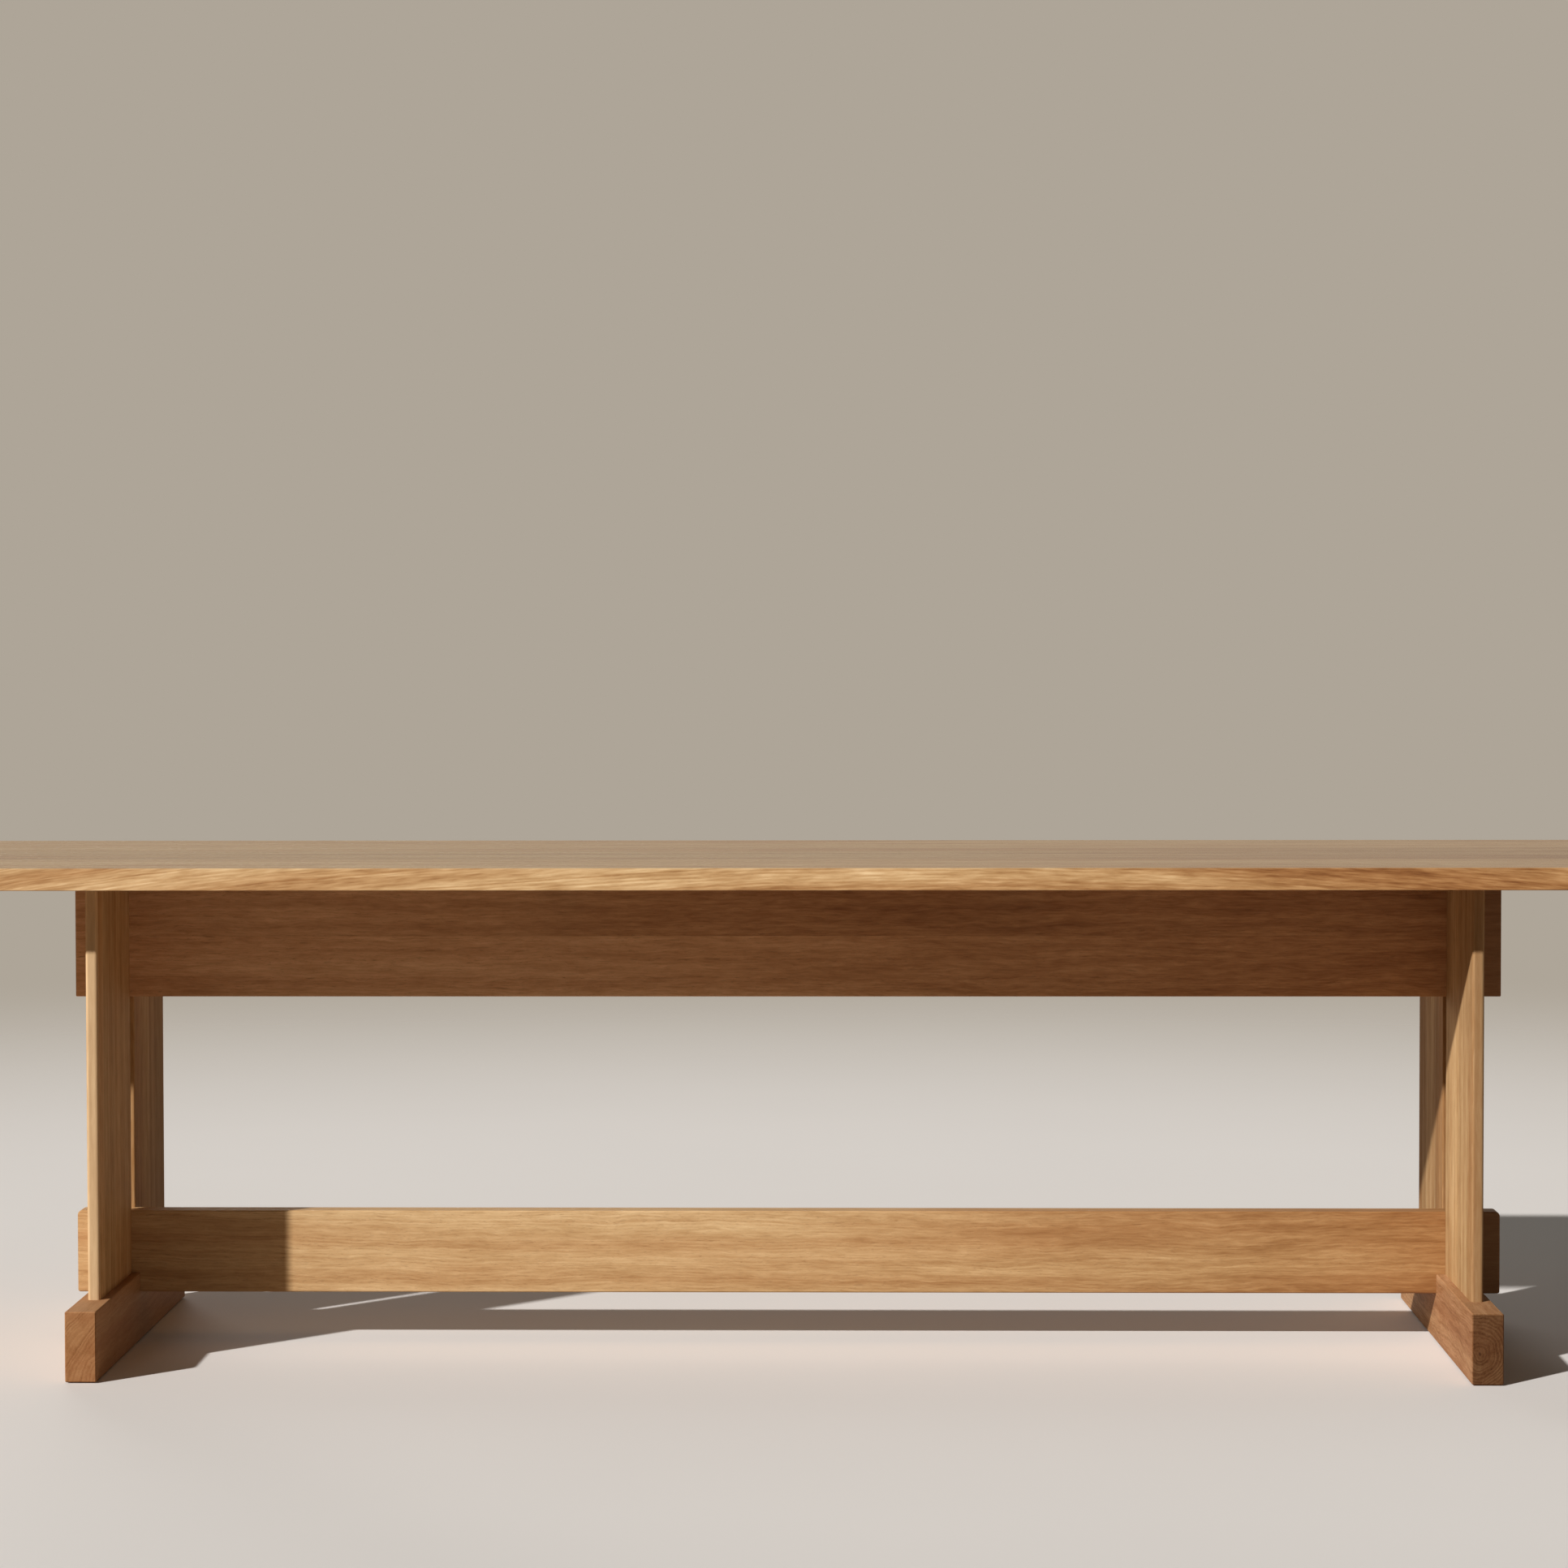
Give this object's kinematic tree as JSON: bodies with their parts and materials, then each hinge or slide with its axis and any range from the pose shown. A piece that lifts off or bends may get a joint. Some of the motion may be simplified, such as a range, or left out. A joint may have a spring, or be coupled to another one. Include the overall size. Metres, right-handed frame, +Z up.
{
  "type": "trestle dining table",
  "caption": "Long oak dining table: plank top on two trestles of wide upright boards and foot beams, tied by a deep upper rail and a lower rail that pass through them.",
  "frame": {"origin": "on the floor, under the middle of the table", "axes": "+X along the table, +Y across it towards the back, +Z up"},
  "size_m": [2.8, 0.8, 0.74],
  "materials": {
    "oak_top": "satin oil on planed oak, long grain along the table",
    "oak_rail": "satin oil on planed oak, long grain along the rail",
    "oak_foot": "satin oil on planed oak, a little darker, grain along the foot",
    "oak_upright": "satin oil on planed oak, upright straight grain",
    "oak_joinery": "bare planed oak",
    "black_steel": "matt black powder coat",
    "zinc_steel": "zinc plated",
    "brass_insert": "plain brass",
    "glide_nylon": "dark brown nylon"
  },
  "bodies": {
    "root": {"top_stave_1": "oak_top", "top_stave_2": "oak_top", "top_stave_3": "oak_top", "top_stave_4": "oak_top", "top_stave_5": "oak_top", "top_stave_6": "oak_top", "top_stave_7": "oak_top", "upper_rail": "oak_rail", "lower_rail": "oak_rail", "left_foot": "oak_foot", "right_foot": "oak_foot", "left_front_upright": "oak_upright", "left_rear_upright": "oak_upright", "right_front_upright": "oak_upright", "right_rear_upright": "oak_upright", "upper_rail_slip_tenons": "oak_joinery", "lower_rail_slip_tenons": "oak_joinery", "top_buttons": "oak_joinery", "stiffener_channel_1": "black_steel", "stiffener_channel_2": "black_steel", "stiffener_channel_3": "black_steel", "stiffener_channel_4": "black_steel", "foot_bolts": "zinc_steel", "foot_washers": "zinc_steel", "button_screws": "zinc_steel", "channel_screws": "zinc_steel", "rail_inserts": "brass_insert", "floor_glides": "glide_nylon"}
  },
  "joints": []
}
